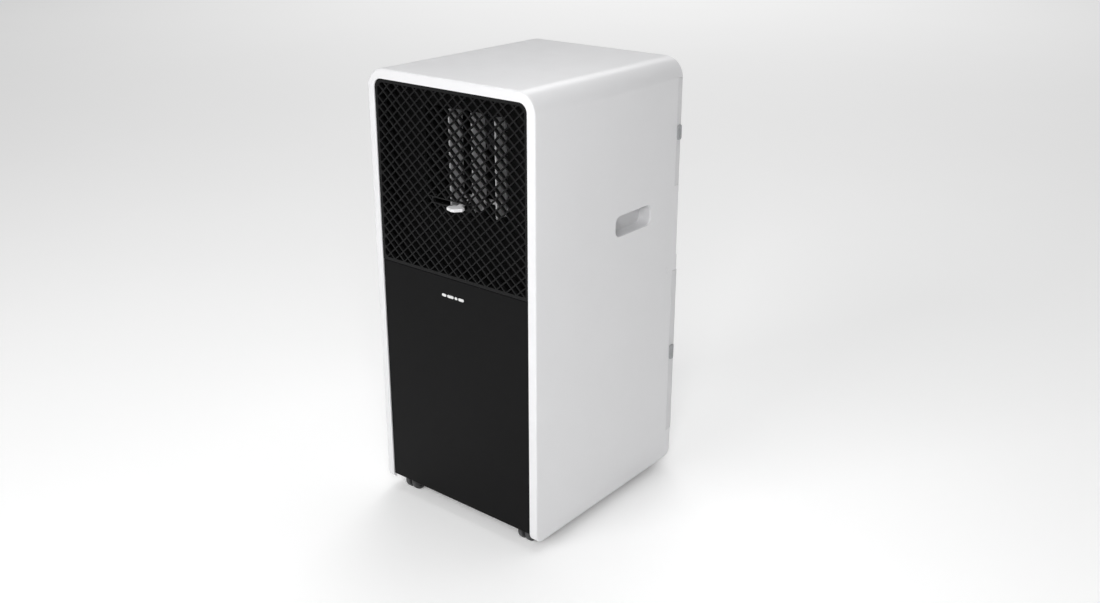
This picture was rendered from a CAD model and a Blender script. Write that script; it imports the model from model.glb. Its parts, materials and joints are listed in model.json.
import bpy
import bmesh
import json
import math
from mathutils import Vector, Matrix


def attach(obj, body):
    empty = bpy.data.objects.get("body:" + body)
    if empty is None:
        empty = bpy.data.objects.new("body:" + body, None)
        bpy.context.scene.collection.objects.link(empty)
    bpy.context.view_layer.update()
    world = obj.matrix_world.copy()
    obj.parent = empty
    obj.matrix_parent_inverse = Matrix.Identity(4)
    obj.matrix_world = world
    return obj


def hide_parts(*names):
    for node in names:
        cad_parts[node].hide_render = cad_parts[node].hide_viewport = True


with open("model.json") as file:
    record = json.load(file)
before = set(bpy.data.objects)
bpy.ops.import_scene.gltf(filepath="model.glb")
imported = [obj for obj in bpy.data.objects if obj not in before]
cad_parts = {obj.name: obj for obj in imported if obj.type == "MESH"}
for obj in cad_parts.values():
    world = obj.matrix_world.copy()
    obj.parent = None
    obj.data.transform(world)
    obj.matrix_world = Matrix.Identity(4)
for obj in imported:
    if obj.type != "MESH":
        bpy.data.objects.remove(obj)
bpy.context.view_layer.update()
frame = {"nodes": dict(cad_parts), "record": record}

scene = bpy.context.scene
MM = 0.001
NODE_BODY = {n: b for b, ns in frame["record"]["behaviour"]["bodies"].items() for n in ns}
SLOT = {s["node"]: s["material_slot"] for s in frame["record"]["subparts"]}


# ------------------------------------------------------------------ materials
def grid_place(nt):
    for i, n in enumerate(nt.nodes):
        n.location = (-220 * (i % 9), -180 * (i // 9))


class Mat:
    """A small builder of procedural materials on object coordinates (metres)."""

    def __init__(self, name, rough=0.4, metal=0.0, spec=0.5):
        self.m = bpy.data.materials.new(name)
        self.m.use_nodes = True
        self.nt = self.m.node_tree
        self.bsdf = self.nt.nodes["Principled BSDF"]
        self.bsdf.inputs["Metallic"].default_value = metal
        self.bsdf.inputs["Roughness"].default_value = rough
        self.bsdf.inputs["Specular IOR Level"].default_value = spec
        self.tc = self.nt.nodes.new("ShaderNodeTexCoord")
        self.normal = None

    def link(self, a, b):
        self.nt.links.new(a, b)

    def mapped(self, scale=(1, 1, 1)):
        mp = self.nt.nodes.new("ShaderNodeMapping")
        mp.inputs["Scale"].default_value = scale
        self.link(self.tc.outputs["Object"], mp.inputs["Vector"])
        return mp.outputs["Vector"]

    def noise(self, scale, detail=3.0, rough=0.55, stretch=None):
        n = self.nt.nodes.new("ShaderNodeTexNoise")
        n.inputs["Scale"].default_value = scale
        n.inputs["Detail"].default_value = detail
        n.inputs["Roughness"].default_value = rough
        self.link(self.mapped(stretch) if stretch else self.tc.outputs["Object"], n.inputs["Vector"])
        return n.outputs["Fac"]

    def voronoi(self, scale, stretch=None, feature="F1"):
        n = self.nt.nodes.new("ShaderNodeTexVoronoi")
        n.feature = feature
        n.inputs["Scale"].default_value = scale
        self.link(self.mapped(stretch) if stretch else self.tc.outputs["Object"], n.inputs["Vector"])
        return n.outputs["Distance"]

    def wave(self, scale, direction="X", distortion=0.0):
        n = self.nt.nodes.new("ShaderNodeTexWave")
        n.wave_type = "BANDS"
        n.bands_direction = direction
        n.inputs["Scale"].default_value = scale
        n.inputs["Distortion"].default_value = distortion
        self.link(self.tc.outputs["Object"], n.inputs["Vector"])
        return n.outputs["Fac"]

    def ramp(self, fac, stops):
        r = self.nt.nodes.new("ShaderNodeValToRGB")
        while len(r.color_ramp.elements) < len(stops):
            r.color_ramp.elements.new(0.5)
        for e, (p, c) in zip(r.color_ramp.elements, stops):
            e.position = p
            e.color = (c[0], c[1], c[2], 1.0)
        self.link(fac, r.inputs["Fac"])
        return r.outputs["Color"]

    def mix(self, fac, a, b, mode="MIX"):
        n = self.nt.nodes.new("ShaderNodeMix")
        n.data_type = "RGBA"
        n.blend_type = mode
        if isinstance(fac, float):
            n.inputs[0].default_value = fac
        else:
            self.link(fac, n.inputs[0])
        for v, s in ((a, n.inputs[6]), (b, n.inputs[7])):
            if isinstance(v, tuple):
                s.default_value = (v[0], v[1], v[2], 1.0)
            else:
                self.link(v, s)
        return n.outputs[2]

    def rng(self, fac, lo, hi, a=0.0, b=1.0):
        n = self.nt.nodes.new("ShaderNodeMapRange")
        n.inputs["From Min"].default_value = a
        n.inputs["From Max"].default_value = b
        n.inputs["To Min"].default_value = lo
        n.inputs["To Max"].default_value = hi
        self.link(fac, n.inputs["Value"])
        return n.outputs["Result"]

    def base(self, sock):
        self.link(sock, self.bsdf.inputs["Base Color"])

    def tint(self, base, var=0.03, scale=9.0, detail=3.0):
        """Base colour with slow, slight variation."""
        f = self.noise(scale, detail)
        lo = tuple(max(0.0, c * (1 - var)) for c in base)
        hi = tuple(min(1.0, c * (1 + var)) for c in base)
        return self.ramp(f, [(0.3, lo), (0.7, hi)])

    def edges(self, col, light, p0=0.54, p1=0.64, amount=0.5):
        """Slightly lighter colour on outer edges, as handling leaves it."""
        g = self.nt.nodes.new("ShaderNodeNewGeometry")
        f = self.rng(g.outputs["Pointiness"], 0.0, amount, p0, p1)
        return self.mix(f, col, light)

    def roughness(self, lo, hi, scale=40.0, detail=4.0):
        self.link(self.rng(self.noise(scale, detail), lo, hi, 0.3, 0.7), self.bsdf.inputs["Roughness"])

    def bump(self, fac, strength=0.1, dist=0.0001):
        b = self.nt.nodes.new("ShaderNodeBump")
        b.inputs["Strength"].default_value = strength
        b.inputs["Distance"].default_value = dist
        self.link(fac, b.inputs["Height"])
        if self.normal is not None:
            self.link(self.normal, b.inputs["Normal"])
        self.normal = b.outputs["Normal"]
        self.link(self.normal, self.bsdf.inputs["Normal"])
        return self

    def done(self):
        grid_place(self.nt)
        return self.m


def plastic(name, base, rough=(0.32, 0.42), var=0.02, grain=1400.0, grain_str=0.10, wave_str=0.05, spec=0.5,
            edge=None, edge_amt=0.4):
    m = Mat(name, spec=spec)
    col = m.tint(base, var)
    if edge:
        col = m.edges(col, edge, amount=edge_amt)
    m.base(col)
    m.roughness(rough[0], rough[1])
    m.bump(m.noise(55.0, 2.0), wave_str, 0.0002)
    m.bump(m.noise(grain, 3.0, 0.6), grain_str, 0.00004)
    return m.done()


def metal(name, base, rough=(0.25, 0.42), stretch=(4, 900, 900), scale=1.0, strength=0.12, var=0.06):
    m = Mat(name, metal=1.0)
    f = m.noise(scale * 2.0, 4.0, 0.6, stretch)
    lo = tuple(c * (1 - var) for c in base)
    hi = tuple(min(1.0, c * (1 + var)) for c in base)
    m.base(m.ramp(f, [(0.3, lo), (0.7, hi)]))
    m.link(m.rng(f, rough[0], rough[1], 0.3, 0.7), m.bsdf.inputs["Roughness"])
    m.bump(f, strength, 0.00003)
    return m.done()


MATS = {}
MATS["white_shell"] = plastic("white_shell", (0.80, 0.80, 0.81), (0.30, 0.38), 0.008, 1800.0, 0.05, 0.03)
MATS["white_back"] = plastic("white_back", (0.74, 0.74, 0.75), (0.42, 0.52), 0.015, 900.0, 0.18, 0.05)
MATS["pocket_white"] = plastic("pocket_white", (0.70, 0.70, 0.71), (0.40, 0.50), 0.015, 1000.0, 0.15, 0.05)
MATS["grille_black"] = plastic("grille_black", (0.0050, 0.0050, 0.0052), (0.36, 0.46), 0.10, 1500.0, 0.12, 0.05,
                               spec=0.14, edge=(0.011, 0.011, 0.0115))
MATS["panel_black"] = plastic("panel_black", (0.0040, 0.0040, 0.0042), (0.34, 0.40), 0.08, 2200.0, 0.10, 0.03,
                              spec=0.075, edge=(0.02, 0.02, 0.021))
MATS["badge_white"] = plastic("badge_white", (0.72, 0.72, 0.72), (0.30, 0.36), 0.02, 1500.0, 0.06)
MATS["duct_black"] = plastic("duct_black", (0.004, 0.004, 0.004), (0.60, 0.72), 0.12, 700.0, 0.2, spec=0.10)
MATS["vane_grey"] = plastic("vane_grey", (0.80, 0.80, 0.81), (0.38, 0.48), 0.03, 1100.0, 0.15)
MATS["knob_grey"] = plastic("knob_grey", (0.74, 0.74, 0.75), (0.34, 0.42), 0.02, 1200.0, 0.12)
MATS["tab_grey"] = plastic("tab_grey", (0.40, 0.41, 0.42), (0.42, 0.50), 0.04, 1000.0, 0.18)
MATS["filter_white"] = plastic("filter_white", (0.72, 0.72, 0.73), (0.40, 0.50), 0.02, 900.0, 0.15)
MATS["base_black"] = plastic("base_black", (0.024, 0.024, 0.025), (0.48, 0.60), 0.15, 600.0, 0.25,
                             edge=(0.06, 0.06, 0.06))
MATS["caster_black"] = plastic("caster_black", (0.028, 0.028, 0.03), (0.38, 0.48), 0.12, 900.0, 0.18,
                               edge=(0.07, 0.07, 0.07))
MATS["caster_tread"] = plastic("caster_tread", (0.05, 0.05, 0.052), (0.46, 0.60), 0.20, 500.0, 0.30,
                               edge=(0.14, 0.14, 0.135))
MATS["inner_grey"] = plastic("inner_grey", (0.28, 0.29, 0.30), (0.44, 0.54), 0.05, 800.0, 0.2)
MATS["fan_grey"] = plastic("fan_grey", (0.13, 0.13, 0.14), (0.42, 0.52), 0.08, 800.0, 0.2)
MATS["rocker_black"] = plastic("rocker_black", (0.02, 0.02, 0.02), (0.18, 0.26), 0.06, 1600.0, 0.05)
MATS["rubber"] = plastic("rubber", (0.020, 0.020, 0.021), (0.68, 0.82), 0.2, 500.0, 0.35, spec=0.3)
MATS["screw_steel"] = metal("screw_steel", (0.58, 0.58, 0.60), (0.22, 0.38), (1200, 12, 1200), 1.0)
MATS["galvanised"] = metal("galvanised", (0.55, 0.56, 0.58), (0.30, 0.48), (60, 60, 60), 1.2, 0.08, 0.12)
MATS["capacitor"] = metal("capacitor", (0.66, 0.67, 0.68), (0.24, 0.36), (900, 900, 6), 1.0)
MATS["copper"] = metal("copper", (0.74, 0.40, 0.26), (0.20, 0.40), (60, 60, 12), 1.0, 0.10, 0.14)

m = Mat("motor_steel", metal=0.6)
m.base(m.tint((0.22, 0.22, 0.23), 0.10, 30.0))
m.roughness(0.30, 0.45)
m.bump(m.noise(260.0, 3.0), 0.15, 0.0001)
MATS["motor_steel"] = m.done()

m = Mat("compressor_black", spec=0.6)
m.base(m.tint((0.015, 0.015, 0.016), 0.2, 25.0))
m.roughness(0.22, 0.36)
m.bump(m.noise(180.0, 3.0), 0.2, 0.00015)
MATS["compressor_black"] = m.done()

m = Mat("fins", metal=1.0)
m.base(m.tint((0.70, 0.71, 0.72), 0.10, 60.0))
m.roughness(0.30, 0.50)
m.bump(m.noise(600.0, 3.0), 0.2, 0.00005)
MATS["fins"] = m.done()

m = Mat("filter_mesh", spec=0.35)
m.base(m.tint((0.16, 0.17, 0.18), 0.12, 40.0))
m.roughness(0.50, 0.65)
m.bump(m.wave(1200.0, "DIAGONAL"), 0.3, 0.00005)
MATS["filter_mesh"] = m.done()

m = Mat("board", spec=0.5)
cells = m.voronoi(260.0, None, "DISTANCE_TO_EDGE")
m.base(m.mix(m.rng(cells, 0.0, 1.0, 0.02, 0.06), (0.20, 0.30, 0.12), (0.03, 0.16, 0.07)))
m.roughness(0.25, 0.40)
m.bump(cells, 0.3, 0.0001)
MATS["board"] = m.done()


# ------------------------------------------------------------------ mesh help
def obj_from(name, verts, faces, smooth=True):
    me = bpy.data.meshes.new(name)
    me.from_pydata([Vector(v) for v in verts], [], faces)
    me.validate()
    if smooth:
        me.polygons.foreach_set("use_smooth", [True] * len(me.polygons))
    ob = bpy.data.objects.new(name, me)
    scene.collection.objects.link(ob)
    return ob


def finish_piece(ob, body, slot, *nodes):
    ob.data.materials.clear()
    ob.data.materials.append(MATS[slot])
    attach(ob, body)
    if nodes:
        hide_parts(*nodes)
    return ob


def bevel(ob, width, segs=2, angle=32.0):
    md = ob.modifiers.new("edge", "BEVEL")
    md.width = width * MM
    md.segments = segs
    md.limit_method = "ANGLE"
    md.angle_limit = math.radians(angle)
    md.use_clamp_overlap = True
    md.harden_normals = True
    md.miter_outer = "MITER_SHARP"
    return md


def refined(node, width=0.3, segs=2, angle=32.0, slot=None):
    """The CAD node's own shape with its edges broken, as a moulding or pressing has them."""
    src = frame["nodes"][node]
    me = src.data.copy()
    me.name = node + "_skin"
    if "custom_normal" in me.attributes:
        me.attributes.remove(me.attributes["custom_normal"])
    bm = bmesh.new()
    bm.from_mesh(me)
    bmesh.ops.remove_doubles(bm, verts=bm.verts, dist=2e-6)
    bmesh.ops.dissolve_limit(bm, angle_limit=math.radians(0.4), verts=bm.verts, edges=bm.edges,
                             use_dissolve_boundaries=False)
    bmesh.ops.recalc_face_normals(bm, faces=bm.faces)
    for e in bm.edges:
        e.smooth = True
    for f in bm.faces:
        f.smooth = True
    bm.to_mesh(me)
    bm.free()
    ob = bpy.data.objects.new(node + "_skin", me)
    scene.collection.objects.link(ob)
    if width > 0:
        bevel(ob, width, segs, angle)
    return finish_piece(ob, NODE_BODY[node], slot or SLOT[node], node)


# ------------------------------------------------------------------- pieces
done = set()
WIDTH = {"wrap_shell": 0.8, "front_grille": 0.3, "front_panel": 0.9, "front_badge": 0.15, "handle_pockets": 0.3,
         "back_panel_upper": 0.5, "back_panel_lower": 0.5, "vane_knob": 0.22, "upper_filter_tab": 0.5,
         "lower_filter_tab": 0.5, "upper_filter_frame": 0.35, "lower_filter_frame": 0.35, "vane_left": 0.25,
         "vane_middle": 0.25, "vane_right": 0.25, "vane_link": 0.3, "back_screws": 0.2, "exhaust_collar": 0.5}
for node in sorted(frame["nodes"]):
    if node in done:
        continue
    refined(node, WIDTH.get(node, 0.25))

# -------------------------------------------------------------------- stage
me = bpy.data.meshes.new("floor")
s = 30.0
me.from_pydata([(-s, -s, 0), (s, -s, 0), (s, s, 0), (-s, s, 0)], [], [(0, 1, 2, 3)])
floor = bpy.data.objects.new("floor", me)
scene.collection.objects.link(floor)
fm = Mat("floor_pale", rough=0.8, spec=0.1)
fm.base(fm.tint((0.86, 0.86, 0.86), 0.005, 2.0))
fm.bsdf.inputs["Emission Color"].default_value = (1, 1, 1, 1)
fm.bsdf.inputs["Emission Strength"].default_value = 0.22
floor.data.materials.append(fm.done())

world = bpy.data.worlds.new("studio")
world.use_nodes = True
scene.world = world
wt = world.node_tree
bg = wt.nodes["Background"]
bg.inputs["Color"].default_value = (1, 1, 1, 1)
bg.inputs["Strength"].default_value = 0.14


def area_light(name, loc, target, size, power, size_y=None):
    l = bpy.data.lights.new(name, "AREA")
    l.shape = "RECTANGLE"
    l.size = size
    l.size_y = size_y or size
    l.energy = power
    ob = bpy.data.objects.new(name, l)
    scene.collection.objects.link(ob)
    ob.location = loc
    d = Vector(target) - Vector(loc)
    ob.rotation_euler = d.to_track_quat("-Z", "Y").to_euler()
    return ob


area_light("key", (1.25, -1.35, 2.05), (0, 0, 0.55), 1.1, 5)
area_light("near", (1.0, -1.28, 1.12), (0.04, -0.1, 0.5), 0.4, 11)
area_light("front", (-0.6, -2.9, 1.9), (0, 0, 0.45), 1.4, 37)
area_light("top", (0.0, 0.3, 3.4), (0, 0, 0.4), 2.4, 33)
area_light("back", (-4.0, 6.0, 6.0), (-4.0, 6.0, 0.0), 6.0, 300)

cam = bpy.data.cameras.new("camera")
cam.sensor_width = 36.0
cam.lens = 36.0 * 1156.21 / 1100.0
cam.shift_y = -0.03
cam.clip_end = 100
cob = bpy.data.objects.new("camera", cam)
scene.collection.objects.link(cob)
cob.location = (1.11155, -1.32521, 0.98757 + 0.017)
cob.rotation_euler = (math.radians(90 - 20.0847), 0, math.radians(38.9574))
scene.camera = cob
scene.view_settings.view_transform = "Standard"
scene.view_settings.look = "None"
